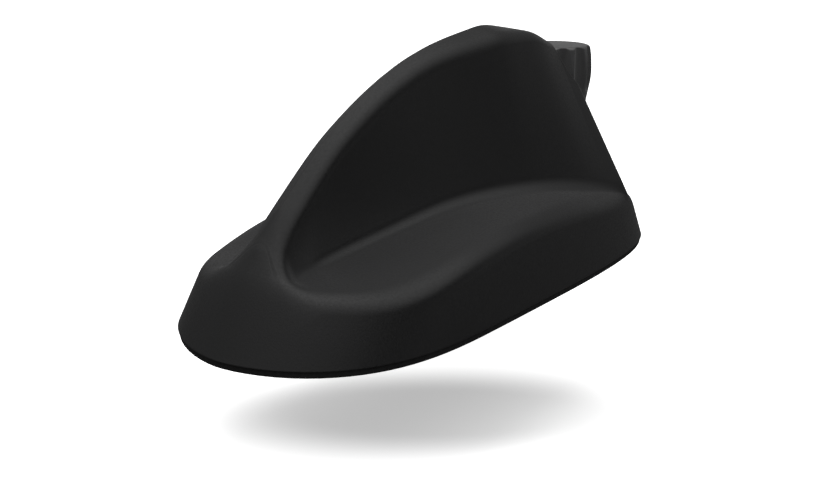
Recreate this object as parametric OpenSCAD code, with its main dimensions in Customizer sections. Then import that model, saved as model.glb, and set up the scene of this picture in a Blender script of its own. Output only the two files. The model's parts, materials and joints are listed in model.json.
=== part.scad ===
// Shark fin aerial for a vehicle roof, with a capped whip mount behind the fin.
// +X is the nose, +Y the left side, +Z up. The roof lies at z = 0 and the
// origin is where the axis of the mounting stud meets it.

/* [Cover plan] */
// Length of the cover along the roof
cover_len = 190; // [170:1:215]
// Width of the cover at its widest
cover_w = 88.5; // [80:0.5:100]
// Distance of the widest place ahead of the middle
widest_x = 21; // [10:1:30]
// How full the nose is along its length, 2 is an ellipse
nose_fullness = 3.4; // [2.4:0.1:4.2]
// How full the nose is across its width, 2 is an ellipse
nose_roundness = 1.75; // [1.6:0.05:2.4]
// How square the tail is along its length
tail_fullness = 3.6; // [2.8:0.1:5]
// How square the tail is across its width
tail_squareness = 5.2; // [3.5:0.1:7]
// Distance that the skirt leans back at the nose
nose_lean = 11.2; // [8:0.2:14]
// Distance that the skirt leans in at the sides
side_lean = 3.6; // [2:0.2:6]
// Distance that the skirt leans forward at the tail
tail_lean = 5.4; // [3:0.2:8]

/* [Cover section] */
// Wall of the moulding
wall = 2.6; // [2:0.1:3.2]
// Height of the shelf edge where it is highest
shelf_h = 25.4; // [23:0.2:30]
// Rounding of the shelf edge, measured down the skirt
shelf_round = 5; // [3:0.2:6]
// Rounding of the shelf edge, measured in over the shelf
shelf_soft = 7; // [4:0.2:9]
// Fillet at the root of the fin
root_round = 4.4; // [2:0.2:6]
// Angle round the outline at which the scoops beside the fin begin
scoop_angle = 19; // [16:0.5:23]
// Angle over which the tips of the scoops are softened
tip_soft = 9; // [3:0.5:12]

/* [Fin] */
// Height of the fin's edge at its peak
fin_h = 77.2; // [68:0.2:84]
// Height of the rounded back of the fin over its edge
fin_crown = 3.2; // [2:0.1:4]
// Width of the fin's back at the peak
fin_back_w = 16; // [14:0.2:18]
// Rounding between the back and the sides of the fin
fin_round = 3.6; // [2.5:0.1:4.5]
// Rounding of the same edge at the nose
brow_round = 6; // [4:0.2:8]
// Length of the deck behind the fin
deck_len = 26.8; // [24:0.2:30]

/* [Whip mount] */
// Distance of the whip axis from the tail
whip_from_tail = 19.4; // [18:0.2:22]
// Radius of the column that carries the whip mount
column_r = 13.4; // [12.8:0.1:13.8]
// Height of the top of the column over the roof
column_h = 43; // [38:0.5:46]
// Radius of the finger pocket round the cap
pocket_r = 16.8; // [16.2:0.1:18]
// Radius of the cap at its belly
cap_r = 13.9; // [13.4:0.1:14.6]
// Height of the cap over its seal
cap_h = 25; // [24:0.5:28]
// Number of finger flutes round the cap
cap_flutes = 12; // [8:1:14]
// Radius of a flute
flute_r = 3.4; // [2.8:0.1:3.6]
// Depth of a flute at the cap's belly
flute_depth = 1.8; // [1:0.1:2]
// Length of a flute below the rim
flute_len = 14.5; // [11:0.5:16]
// Turn of the cap when it is screwed home
cap_turn = 15; // [0:1:29]
// Outer radius of the collar's thread
collar_r = 9.6; // [9:0.1:9.8]

/* [Base] */
// Thickness of the roof gasket
gasket_t = 1.9; // [1.5:0.1:2.5]
// Distance of the gasket's edge inside the cover's foot
gasket_in = 0.4; // [0:0.1:1]
// Thickness of the base plate
plate_t = 3.2; // [2.8:0.1:4]
// Height of the lip seal between the plate and the cover
seal_h = 1.6; // [1.2:0.1:2]
// Width of the lip seal
seal_w = 2.2; // [1.8:0.1:2.6]
// Thickness of the cover's rim outside the base plate
rim_t = 1.3; // [1.1:0.1:1.6]
// Clearance between nested pieces
fit_gap = 0.3; // [0.2:0.05:0.4]
// Height of the ribs on the base plate
rib_h = 2; // [1.5:0.1:2.4]

/* [Mounting stud] */
// Radius of the stud
stud_r = 8; // [7:0.25:9]
// Length of the stud below the roof
stud_len = 21; // [16:1:24]
// Step of the shoulder outside the stud's thread
shoulder = 0.4; // [0.3:0.1:1]
// Radius of the cable passage through the stud
passage_r = 5.5; // [4.5:0.25:6]
// Width of the stud's hexagon head across flats
head_af = 22; // [21:0.5:24]
// Height of the stud's head over the base plate
head_t = 2.6; // [2:0.1:3]
// Number of cable passages in the grommet
cables = 3; // [2:1:4]
// Radius of a cable passage in the grommet
cable_r = 1.5; // [1:0.1:1.7]

/* [Electronics] */
// Height of the posts that carry the main board
post_h = 4; // [3.6:0.1:5]
// Length of the main board
board_len = 104; // [96:1:108]
// Width of the main board
board_w = 52; // [46:1:54]
// Thickness of the circuit boards
board_t = 1.6; // [1.2:0.1:1.8]
// Side of the square satellite patch
patch_w = 25; // [18:0.5:26]
// Thickness of the satellite patch
patch_t = 3.6; // [3:0.1:4]
// Radius of the screws
screw_r = 1.45; // [1.2:0.05:1.6]

/* [Hidden] */
$fn = 48;

moulded = [0.09, 0.09, 0.1];
rubber = [0.05, 0.05, 0.05];
cast = [0.62, 0.63, 0.65];
steel = [0.7, 0.71, 0.73];
brass = [0.78, 0.62, 0.3];
laminate = [0.08, 0.3, 0.16];
ceramic = [0.82, 0.78, 0.68];
plastic = [0.85, 0.85, 0.82];

half_len = cover_len / 2;
half_w = cover_w / 2;
fin_end = deck_len - half_len;
whip_x = whip_from_tail - half_len;
plate_top = gasket_t + plate_t;
seal_top = plate_top + seal_h;
board_z = plate_top + post_h;
board_top = board_z + board_t;

// Stations of the cover's feature lines, drawn for a cover 190 long and 88.5 wide
// whose shelf is 25.4 high and whose fin is 77.2 high
kx = cover_len / 190;
ky = cover_w / 88.5;
kz = shelf_h / 25.4;
kf = fin_h / 77.2;
kb = fin_back_w / 16;
// Height of the shelf edge at each distance from the middle
shelf_edge = [for (s = [[88, 20.6], [60, 18.5], [30, 23], [0, 25.4], [-40, 23.4], [-90, 15.9]])
    [s[0] * kx, s[1] * kz]];
// Distance from the middle, half width and height of the fin's root
root = [for (s = [[62, 6.4, 20.8], [35, 8.1, 23.8], [5, 13.1, 27.9], [-25, 22.1, 28.3], [-50, 30.2, 25],
    [-68.2, 36.3, 21.1]]) [s[0] * kx, s[1] * ky, s[2] * kz]];
// Distance from the middle, half width and height of the edges of the fin's back
back = [for (s = [[79, 6.6, 24.4], [70, 5.9, 33.4], [45, 5.3, 54], [12, 5.7, 69.8], [-25, 8, 76.7],
    [-40, 7.9, 77.2], [-50, 7.8, 76.4], [-60, 7.6, 72.8]]) [s[0] * kx, s[1] * kb, s[2] * kf]];

// The interval of the stations p, which fall in x, that holds x
function interval(x, p, i = 0) = i >= len(p) - 2 || x >= p[i + 1][0] ? i : interval(x, p, i + 1);
// The slope of the curve through the stations p at station i
function slope(p, i) = let (a = max(i - 1, 0), b = min(i + 1, len(p) - 1))
    (p[b][1] - p[a][1]) / (p[b][0] - p[a][0]);
// The height at x of the smooth curve through the stations p, straight beyond its ends
function curve(x, p) =
    let (n = len(p) - 1)
    x > p[0][0] ? p[0][1] + slope(p, 0) * (x - p[0][0]) :
    x < p[n][0] ? p[n][1] + slope(p, n) * (x - p[n][0]) :
    let (i = interval(x, p), h = p[i + 1][0] - p[i][0], t = (x - p[i][0]) / h)
    p[i][1] * (2 * pow(t, 3) - 3 * t * t + 1) + slope(p, i) * h * (pow(t, 3) - 2 * t * t + t)
    + p[i + 1][1] * (3 * t * t - 2 * pow(t, 3)) + slope(p, i + 1) * h * (pow(t, 3) - t * t);
// A blend from 0 to 1 with level ends
function ease(t) = let (u = min(max(t, 0), 1)) u * u * (3 - 2 * u);

// Share of the reach forward or back, and share of the half width, at the angle a from the nose
function reach(a) = pow(abs(cos(a)), 2 / (a <= 90 ? nose_fullness : tail_fullness));
function spread(a) = pow(abs(sin(a)), 2 / (a <= 90 ? nose_roundness : tail_squareness));
// Point of the outline that is drawn in by the amounts in = [nose, side, tail]
function plan(a, in) =
    [a <= 90 ? widest_x + (half_len - in[0] - widest_x) * reach(a)
             : widest_x - (half_len - in[2] + widest_x) * reach(a),
     (half_w - in[1]) * spread(a)];
// The whole outline, with closer points at the nose and at the corners of the tail
outline_n = 44;
function outline(in) =
    let (half = [for (i = [0:outline_n]) let (t = i / outline_n) plan(180 * t + 9 * sin(360 * t), in)])
    concat(half, [for (i = [outline_n - 1:-1:1]) [half[i][0], -half[i][1]]]);
// How far the skirt has leaned in at the height z, with a further distance d
skirt_lean = [nose_lean, side_lean, tail_lean];
function leaned(z, d) = [for (i = [0:2])
    let (edge_z = [shelf_edge[0][1], shelf_edge[3][1], shelf_edge[5][1]][i])
    skirt_lean[i] * (z - gasket_t) / (edge_z - gasket_t) + d];
function inset(d) = [d, d, d];

// The lines below bound the sections of the skin. d draws them in for the inside of the wall.
corner_a = 135;
function xy(p) = [for (q = p) [q[0], q[1]]];
function xz(p) = [for (q = p) [q[0], q[2]]];
function shelf_z(x) = curve(x, shelf_edge);
// Edge of the shelf
function shelf_line(a, d) =
    let (q = plan(a, skirt_lean), w = plan(a, skirt_lean + inset(d))) [w[0], w[1], shelf_z(q[0]) - d];
tip = shelf_line(scoop_angle, 0);
root_y = xy(concat([tip], root));
root_z = xz(concat([tip], root));
back_y = xy(back);
back_z = xz(back);
function back_share(a) = min(reach(a) / reach(corner_a), 1);
// Distance from the middle at which the section at a crosses the fin
function fin_x(a, d) = a <= 90 ? widest_x + (back[0][0] - widest_x) * reach(a) / reach(scoop_angle)
                               : widest_x - (widest_x - fin_end - d) * back_share(a);
function fin_side(a) = a <= corner_a ? 1 : spread(a) / spread(corner_a);
function back_slope(x) = (curve(x + 1, back_z) - curve(x - 1, back_z)) / 2;
// A point moved by d square to the fin's back
function sunk(x, y, z, d) =
    let (m = min(back_slope(x), 0), k = sqrt(1 + m * m)) [x + d * m / k, y, z - d / k];
// Edge of the fin's back
function back_line(a, d) = let (x = fin_x(a, d))
    sunk(x, (curve(x, back_y) - d) * fin_side(a), curve(x, back_z), d);
// Root of the fin. It sinks between the shelf and the fin over the angle tip_fade.
tip_fade = 20;
function root_line(a, d) =
    let (x = fin_x(a, d), k = ease((a - scoop_angle) / tip_fade),
         free = [x, (curve(x, root_y) - d) * fin_side(a), curve(x, root_z) - d],
         middle = (shelf_line(a, d) + back_line(a, d)) / 2)
    middle * (1 - k) + free * k;
// Height of the fin's rounded back over its edge. It flattens towards the rear end.
function crown(x) = fin_crown * (0.05 + 0.95 * ease((x / kx + 54) / 32));
// Top of the fin's back
spine_lead = 6.8;
nose_top = 3;
function spine_x(a, d) =
    a < scoop_angle ? tip[0] - nose_top - (spine_lead - nose_top) * a / scoop_angle :
    a <= 90 ? widest_x + (tip[0] - spine_lead - widest_x) * reach(a) / reach(scoop_angle) :
    widest_x - (widest_x - fin_end - 2 - d) * back_share(a);
function spine(a, d) =
    let (x = spine_x(a, d), rise = a < scoop_angle ? 0.6 + 0.4 * a / scoop_angle : 1)
    sunk(x, 0, curve(x, back_z) + crown(x) * rise, d);

// The point at most r from p towards q, and at most a share of the way
function towards(p, q, r, share) =
    let (v = q - p, n = norm(v)) n < 0.001 ? p : p + v / n * min(r, share * n);
// Points of a soft bend from a to c round the corner b
bend_n = 3;
function bend(a, b, c) = [for (i = [0:bend_n]) let (t = i / bend_n)
    pow(1 - t, 2) * a + 2 * t * (1 - t) * b + t * t * c];
function rounded(p, q, s, r, onward, before = 0.45, after = 0.45) =
    bend(towards(q, p, r, before), q, towards(q, s, onward, after));
rows = 3 * (bend_n + 1) + 3;
// Half a section of the skin, from the foot to the spine. Ahead of the scoops it runs
// straight up from the edge of the shelf.
tip_share = 0.42;
function section(a, d, foot) =
    let (w = plan(a, inset(d)), p = [w[0], w[1], foot], b = shelf_line(a, d), e = spine(a, d),
         ahead = a <= scoop_angle, share = tip_share + 0.4 * (1 - a / scoop_angle),
         c = ahead ? b + (e - b) * share / 2 : root_line(a, d),
         f = ahead ? b + (e - b) * share : back_line(a, d),
         k = ease((a - scoop_angle) / 30), brow = brow_round + (fin_round - brow_round) * k,
         top = rounded(c, f, e, brow, brow))
    concat([p], rounded(p, b, c, shelf_round, shelf_soft, 0.45, 0.8 - 0.25 * k),
           rounded(b, c, f, root_round, root_round, 0.15 + 0.25 * k), top, [(top[bend_n] + e) / 2, e]);
// The section at a, averaged with its neighbours near the tip of the scoop. The foot stays.
function soft_section(a, d, foot) =
    let (w = tip_soft / 2 * max(0, 1 - abs(a - scoop_angle) / scoop_angle),
         near = [for (i = [-2:2]) section(max(a + i * w, 0), d, foot)], share = [1, 4, 6, 4, 1] / 16)
    [for (r = [0:rows - 1]) r == 0 ? near[2][0] :
        share[0] * near[0][r] + share[1] * near[1][r] + share[2] * near[2][r] + share[3] * near[3][r]
        + share[4] * near[4][r]];
// Angles of the sections, closer at the tips of the scoops and at the corners of the fin's end
function section_angles(n) = concat(
    [for (i = [0:5]) scoop_angle * i / 6],
    [for (i = [0:n - 1]) scoop_angle + (90 - scoop_angle) * pow(i / n, 1.5)],
    [for (i = [0:n - 3]) 90 + (corner_a - 91) * i / (n - 3)],
    [for (i = [0:8]) corner_a + 1 + (179 - corner_a) * i / 8]);

// The closed skin of the cover: sections on the left side, mirrored on the right
module skin(d, foot, n) {
    angles = section_angles(n);
    m = len(angles) - 1;
    ring = 2 * m;
    last = m - 8;
    near = [for (a = angles) soft_section(a, d, foot)];
    points = concat(
        [for (r = [0:rows - 2]) for (j = [0:ring - 1]) let (q = near[min(j, ring - j)][r])
            [q[0], j % m == 0 ? 0 : (j < m ? q[1] : -q[1]), q[2]]],
        [for (j = [0:last]) near[j][rows - 1]]);
    function at(r, j) = let (k = j % ring)
        r < rows - 1 ? r * ring + k : (rows - 1) * ring + min(k, ring - k, last);
    faces = concat(
        [[for (j = [0:ring - 1]) j]],
        [for (r = [0:rows - 2]) for (j = [0:ring - 1])
            if (at(r + 1, j) != at(r + 1, j + 1)) [at(r, j), at(r + 1, j), at(r + 1, j + 1)]],
        [for (r = [0:rows - 2]) for (j = [0:ring - 1]) [at(r, j), at(r + 1, j + 1), at(r, j + 1)]]);
    polyhedron(points, faces, 4);
}

// Places shared by the pieces

// Screws of the cover, at these angles round the outline on each side
cover_screw_angles = [34, 82, 151];
screw_in = 6.5;
cover_screw_at = [for (s = [1, -1]) for (a = cover_screw_angles)
    let (p = plan(a, skirt_lean + inset(screw_in))) [p[0], s * p[1]]];
board_x = 8;
board_corner_r = 5;
board_screw_in = 6;
board_screw_at = [for (i = [-1, 1]) for (j = [-1, 1])
    [board_x + i * (board_len / 2 - board_screw_in), j * (board_w / 2 - board_screw_in)]];
boss_r = 3.4;
post_r = 3;
pilot_gap = 0.05;
screw_head_r = 2.9;
screw_head_t = 1.5;
screw_grip = 9;
module plate_shape(in) polygon(outline(in));
module at_each(places) for (p = places) translate([p[0], p[1], 0]) children();
module tube(r, hole, h) difference() {
    cylinder(r = r, h = h);
    translate([0, 0, -1]) cylinder(r = hole, h = h + 2);
}

// Cover

column_flare = 2.2;
column_foot = 14;
flare_top = shelf_z(whip_x) + column_flare;
column_cavity_r = column_r - wall;
collar_depth = 12;
collar_shank_r = 7;
flange_r = 10.6;
flange_t = 1.4;
web_t = 2;
module pocket(grow)
    translate([whip_x, 0, column_h - grow]) cylinder(r = pocket_r + grow, h = fin_h, $fn = 64);
module radome() color(moulded) difference() {
    union() {
        difference() {
            skin(0, gasket_t, 26);
            difference() {
                skin(wall, gasket_t - 1, 16);
                pocket(wall);
            }
            pocket(0);
        }
        translate([whip_x, 0, column_foot]) cylinder(r = column_r, h = column_h - column_foot, $fn = 64);
        translate([whip_x, 0, column_foot])
            cylinder(r1 = column_r + column_flare, r2 = column_r, h = flare_top - column_foot, $fn = 64);
        for (p = cover_screw_at) let (top = shelf_z(p[0]) - wall / 2, s = sign(p[1])) {
            hull() {
                translate([p[0], p[1], plate_top]) cylinder(r = boss_r, h = 1, $fn = 24);
                translate([p[0], p[1], top - 1]) cylinder(r = boss_r + 0.4, h = 1, $fn = 24);
            }
            hull() {
                translate([p[0] - web_t / 2, p[1] - s, seal_top + 3]) cube([web_t, 2, top - seal_top - 3]);
                translate([p[0] - web_t / 2, p[1] + s * boss_r, top - 4]) cube([web_t, 1, 4]);
            }
        }
    }
    translate([0, 0, gasket_t - 1]) linear_extrude(seal_top - gasket_t + 1)
        plate_shape(leaned(seal_top, rim_t));
    translate([whip_x, 0, gasket_t])
        cylinder(r = column_cavity_r, h = column_h - collar_depth - gasket_t, $fn = 64);
    translate([whip_x, 0, gasket_t]) cylinder(r = collar_shank_r + pilot_gap, h = column_h);
    at_each(cover_screw_at)
        cylinder(r = screw_r + pilot_gap, h = gasket_t + screw_grip + plate_t, $fn = 24);
}

// Base plate, seals and gasket

plate_in = leaned(seal_top, rim_t + fit_gap);
rib_w = 2.4;
rib_edge = 12;
seat_gap = 0.4;
shoulder_r = stud_r + shoulder;
ring_r = 1.3;
ring_seat_r = shoulder_r + fit_gap + ring_r;
ring_space_r = ring_seat_r + ring_r + fit_gap;
ring_z = ring_r + fit_gap / 3;
module base_plate() color(cast) difference() {
    union() {
        translate([0, 0, gasket_t]) linear_extrude(plate_t) plate_shape(plate_in);
        translate([0, 0, plate_top - 0.1]) linear_extrude(rib_h + 0.1) difference() {
            plate_shape(plate_in + inset(rib_edge));
            plate_shape(plate_in + inset(rib_edge + rib_w));
        }
        for (x = [-52, -30, 30]) translate([x * kx - rib_w / 2, 1 - board_w / 2, plate_top - 0.1])
            cube([rib_w, board_w - 2, rib_h + 0.1]);
        at_each(board_screw_at) cylinder(r = post_r, h = board_z);
    }
    translate([0, 0, -1]) linear_extrude(gasket_t + 1) plate_shape(inset(0));
    translate([0, 0, gasket_t - 1]) cylinder(r = shoulder_r + fit_gap / 2, h = plate_t + 2);
    translate([0, 0, gasket_t - 1])
        cylinder(r = ring_space_r, h = 1 + ring_z + ring_r - gasket_t);
    at_each(cover_screw_at) {
        translate([0, 0, gasket_t - 1]) cylinder(r = screw_r + seat_gap, h = plate_t + rib_h + 2);
        translate([0, 0, gasket_t - 1]) cylinder(r = screw_head_r + seat_gap, h = screw_head_t + 1);
        translate([0, 0, plate_top]) cylinder(r = boss_r + seat_gap, h = rib_h + 1);
    }
    at_each(board_screw_at) translate([0, 0, gasket_t + 1]) cylinder(r = screw_r + pilot_gap, h = board_z);
}

module cover_seal() color(rubber) translate([0, 0, plate_top]) linear_extrude(seal_h) difference() {
    plate_shape(plate_in);
    plate_shape(plate_in + inset(seal_w));
}

module roof_gasket() color(rubber) difference() {
    linear_extrude(gasket_t) plate_shape(inset(gasket_in));
    translate([0, 0, -1]) cylinder(r = ring_space_r, h = gasket_t + 2);
}

module stud_seal() color(rubber) translate([0, 0, ring_z])
    rotate_extrude() translate([ring_seat_r, 0]) circle(r = ring_r);

// Stud and grommet

chamfer = 1;
neck_h = 0.8;
neck_in = 0.8;
module mounting_stud() color(steel) difference() {
    union() {
        translate([0, 0, -stud_len]) cylinder(r1 = stud_r - chamfer, r2 = stud_r, h = chamfer);
        translate([0, 0, chamfer - stud_len]) cylinder(r = stud_r, h = stud_len - chamfer);
        translate([0, 0, -chamfer]) cylinder(r = stud_r - neck_in, h = 2 * chamfer);
        translate([0, 0, neck_h]) cylinder(r = shoulder_r, h = plate_top - neck_h);
        translate([0, 0, plate_top]) cylinder(r = head_af / sqrt(3), h = head_t, $fn = 6);
    }
    translate([0, 0, -stud_len - 1]) cylinder(r = passage_r, h = stud_len + plate_top + head_t + 2);
}

grommet_lip = 1.5;
module cable_grommet() color(rubber) difference() {
    union() {
        translate([0, 0, 2 - stud_len]) cylinder(r = passage_r, h = stud_len - 2 + plate_top + head_t);
        translate([0, 0, plate_top + head_t]) cylinder(r = passage_r + 1.5, h = grommet_lip);
    }
    for (i = [0:cables - 1]) rotate(360 / cables * i) translate([passage_r / 2, 0, -stud_len])
        cylinder(r = cable_r, h = stud_len + 20, $fn = 24);
}

// Electronics

module rounded_plate(l, w, r, h) translate([-l / 2, -w / 2, 0]) linear_extrude(h) union() {
    translate([r, 0]) square([l - 2 * r, w]);
    translate([0, r]) square([l, w - 2 * r]);
    for (x = [r, l - r]) for (y = [r, w - r]) translate([x, y]) circle(r = r);
}

module main_board() color(laminate) difference() {
    translate([board_x, 0, board_z]) rounded_plate(board_len, board_w, board_corner_r, board_t);
    translate([0, 0, board_z - 1]) cylinder(r = head_af / 2, h = board_t + 2);
    at_each(board_screw_at) translate([0, 0, board_z - 1])
        cylinder(r = screw_r + seat_gap, h = board_t + 2);
    translate([patch_x, 0, board_z - 1]) cylinder(r = feed_r, h = board_t + 2, $fn = 24);
}

board_screw_len = 5;
module board_screws() color(steel) at_each(board_screw_at) translate([0, 0, board_top]) {
    translate([0, 0, -board_screw_len]) cylinder(r = screw_r, h = board_screw_len, $fn = 24);
    difference() {
        cylinder(r1 = screw_head_r, r2 = screw_head_r - 0.5, h = screw_head_t);
        translate([0, 0, screw_head_t - 0.8]) linear_extrude(1) cross_slot();
    }
}

module cross_slot() {
    square([3, 0.7], center = true);
    square([0.7, 3], center = true);
}

module cover_screws() color(steel) at_each(cover_screw_at) translate([0, 0, gasket_t]) {
    difference() {
        cylinder(r = screw_head_r, h = screw_head_t);
        translate([0, 0, -0.1]) linear_extrude(0.9) cross_slot();
    }
    translate([0, 0, screw_head_t]) cylinder(r = screw_r, h = screw_grip, $fn = 24);
}

patch_x = board_x + board_len / 2 - 16;
feed_r = 0.8;
patch_metal = 0.3;
module gnss_patch() color(ceramic) difference() {
    union() {
        translate([patch_x - patch_w / 2, -patch_w / 2, board_top]) cube([patch_w, patch_w, patch_t]);
        translate([patch_x - patch_w / 2 + 2, 2 - patch_w / 2, board_top + patch_t])
            cube([patch_w - 4, patch_w - 4, patch_metal]);
    }
    translate([patch_x, 0, board_top - 1]) cylinder(r = feed_r, h = patch_t + 3, $fn = 24);
}

module gnss_feed_pin() color(brass) translate([patch_x, 0, board_z - 1]) {
    cylinder(r = feed_r, h = board_t + patch_t + patch_metal + 1, $fn = 24);
    translate([0, 0, board_t + patch_t + patch_metal + 1])
        cylinder(r1 = feed_r + 0.7, r2 = feed_r, h = 0.5, $fn = 24);
}

shield_size = [16, 15, 3];
shield_in = 2.5;
shield_x = board_x + board_len / 2 - 38;
shield_t = 0.5;
shield_hole_r = 0.8;
module lna_shield() color(steel) difference() {
    translate([shield_x - shield_size[0] / 2, board_w / 2 - shield_in - shield_size[1], board_top])
        cube(shield_size);
    translate([shield_x - shield_size[0] / 2, board_w / 2 - shield_in - shield_size[1], board_top]) {
        translate([shield_t, shield_t, -1])
            cube(shield_size - [2 * shield_t, 2 * shield_t, shield_t - 1]);
        for (i = [1:3]) for (j = [1:3]) translate([i * shield_size[0] / 4, j * shield_size[1] / 4, 0])
            cylinder(r = shield_hole_r, h = shield_size[2] + 2, $fn = 16);
    }
}

socket_r = 2.2;
socket_h = 4;
socket_wall = 0.6;
socket_foot_l = 6;
socket_foot_w = 5.4;
socket_foot_t = 1;
socket_pin_r = 0.5;
socket_pin_h = 2;
socket_in = 8;
socket_pitch = 6;
socket_x = board_x - board_len / 2 + 26;
socket_y = [socket_in - board_w / 2, socket_in + socket_pitch - board_w / 2,
            board_w / 2 - socket_in - socket_pitch];
module coax_sockets() color(brass) for (y = socket_y) translate([socket_x, y, board_top]) {
    translate([-socket_foot_l / 2, -socket_foot_w / 2, 0])
        cube([socket_foot_l, socket_foot_w, socket_foot_t]);
    translate([0, 0, socket_foot_t]) tube(socket_r, socket_r - socket_wall, socket_h - socket_foot_t);
    translate([0, 0, socket_foot_t]) cylinder(r = socket_pin_r, h = socket_pin_h, $fn = 16);
}

// Upright element, cut to follow the fin's back from below
element_t = 1.2;
element_from = -54;
element_to = 24;
element_below = 7.5;
element_lift = 3;
element_foot = board_top + element_lift;
element_step = 6;
slot_w = 2;
slot_first = 14;
slot_pitch = 13;
slot_lift = 8;
slot_share = 0.62;
column_clear = 6;
holder_h = 7;
holder_len = 12;
holder_t = 2;
holder_at = [-34, 12];
module fin_element() color(laminate) difference() {
    translate([0, element_t / 2, 0]) rotate([90, 0, 0]) linear_extrude(element_t) polygon(concat(
        [[element_from * kx, element_foot], [element_to * kx, element_foot]],
        [for (x = [element_to:-element_step:element_from])
            [x * kx, curve(x * kx, back_z) - element_below]]));
    for (i = [0:4]) let (x = (element_to - slot_first - slot_pitch * i) * kx)
        translate([x, -element_t, element_foot + slot_lift])
            cube([slot_w, 2 * element_t, slot_share * (curve(x, back_z) - element_foot) - slot_lift]);
    translate([whip_x + pocket_r + wall + 1 - cover_len, -element_t, column_h - wall - column_clear])
        cube([cover_len, 2 * element_t, fin_h]);
}

module element_holder() color(plastic) for (x = holder_at) translate([x, 0, board_top]) difference() {
    translate([-holder_len / 2, -element_t / 2 - holder_t, 0])
        cube([holder_len, element_t + 2 * holder_t, holder_h]);
    translate([-holder_len, -element_t / 2, element_lift])
        cube([2 * holder_len, element_t, holder_h]);
}

wifi_w = 20;
wifi_h = 10;
wifi_x = board_x - board_len / 2 + 34;
wifi_y = board_w / 2 - 4;
module wifi_element(side) color(laminate) translate([wifi_x, side * wifi_y, board_top]) difference() {
    translate([-wifi_w / 2, -element_t / 2, 0]) cube([wifi_w, element_t, wifi_h]);
    translate([-wifi_w / 2 + 3, -2, 3]) cube([wifi_w - 6, 4, 1.5]);
    translate([wifi_w / 2 - 6, -2, 3]) cube([1.5, 4, wifi_h - 5]);
}
module wifi_element_left() wifi_element(1);
module wifi_element_right() wifi_element(-1);

// Whip mount and its cap

collar_top = 12;
collar_bore_r = 4.6;
contact_r = 1.6;
strip_w = 4;
strip_t = 0.6;
contact_foot = 5;
strip_end = -42;
strip_top = board_top + 2;
strip_z = column_h - collar_depth - contact_foot;
module whip_feed_strip() color(brass)
    translate([0, strip_w / 2, 0]) rotate([90, 0, 0]) linear_extrude(strip_w) polygon([
    [whip_x - 3, strip_z], [whip_x + 3, strip_z], [whip_x + 3, strip_top], [strip_end, strip_top],
    [strip_end, board_top], [strip_end - strip_t, board_top], [strip_end - strip_t, strip_top - strip_t],
    [whip_x + 3 - strip_t, strip_top - strip_t], [whip_x + 3 - strip_t, strip_z - strip_t],
    [whip_x - 3, strip_z - strip_t]]);

module whip_collar() color(brass) translate([whip_x, 0, column_h]) difference() {
    union() {
        translate([0, 0, -collar_depth]) cylinder(r = collar_shank_r, h = collar_depth);
        cylinder(r = flange_r, h = flange_t);
        cylinder(r = collar_r, h = collar_top - chamfer);
        translate([0, 0, collar_top - chamfer])
            cylinder(r1 = collar_r, r2 = collar_r - chamfer, h = chamfer);
    }
    translate([0, 0, -collar_depth - 1]) cylinder(r = collar_bore_r, h = collar_depth + collar_top + 2);
}

module whip_insulator() color(plastic)
    translate([whip_x, 0, column_h - collar_depth]) tube(collar_bore_r, contact_r, collar_depth + 8);

module whip_contact() color(brass) translate([whip_x, 0, strip_z]) {
    cylinder(r = contact_r, h = contact_foot + collar_depth + 9);
    translate([0, 0, contact_foot + collar_depth + 9]) sphere(r = contact_r);
}

seal_t = 1.7;
cap_z = column_h + seal_t;
cap_foot_r = cap_r * 0.86;
module cap_seal() color(rubber)
    translate([whip_x, 0, column_h]) tube(cap_foot_r - 0.3, flange_r + 0.2, seal_t);

// Radius of the cap at each height, as shares of its height and of cap_r, from the rim down
cap_line = [for (s = [[0.96, 0.945], [0.9, 0.965], [0.84, 0.98], [0.72, 0.995], [0.61, 1], [0.49, 0.985],
    [0.37, 0.948], [0.19, 0.892], [0, 0.86]]) [s[0] * cap_h, s[1] * cap_r]];
cap_rim_r = cap_r * 0.81;
cap_dome = 0.5;
module whip_cap() color(moulded) translate([whip_x, 0, cap_z]) rotate(cap_turn) difference() {
    rotate_extrude($fn = 64) polygon(concat([[0, 0]],
        [for (i = [0:12]) let (z = 0.92 * cap_h * i / 12) [curve(z, cap_line), z]],
        bend([curve(0.945 * cap_h, cap_line), 0.945 * cap_h], [0.94 * cap_r, cap_h], [cap_rim_r, cap_h]),
        [[0, cap_h + cap_dome]]));
    for (i = [0:cap_flutes - 1]) rotate(360 / cap_flutes * i)
        translate([cap_r + flute_r - flute_depth, 0, cap_h - flute_len]) {
            cylinder(r = flute_r, h = cap_h, $fn = 32);
            sphere(r = flute_r, $fn = 32);
        }
    translate([0, 0, -1]) cylinder(r = collar_r + fit_gap, h = collar_top + 1);
}

radome();
base_plate();
cover_seal();
roof_gasket();
mounting_stud();
stud_seal();
cable_grommet();
main_board();
board_screws();
cover_screws();
gnss_patch();
gnss_feed_pin();
lna_shield();
coax_sockets();
fin_element();
element_holder();
wifi_element_left();
wifi_element_right();
whip_feed_strip();
whip_collar();
whip_insulator();
whip_contact();
cap_seal();
whip_cap();
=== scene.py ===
# %% [markdown]
# A shark fin aerial is one black moulding that hides its electronics. This lesson
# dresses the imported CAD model: it loads the solids, sets the camera and the light,
# mixes the finishes, and then replaces the cover, the cap and the stud by finer
# meshes that follow the same rules as the solids. Blender measures in metres. The
# shapes are easier to read in millimetres, so MM turns those into metres.

# %% Load the frame
import json
from math import cos, pi, radians, sin, sqrt
import bmesh
import bpy
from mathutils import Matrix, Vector
from mathutils.bvhtree import BVHTree


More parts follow.
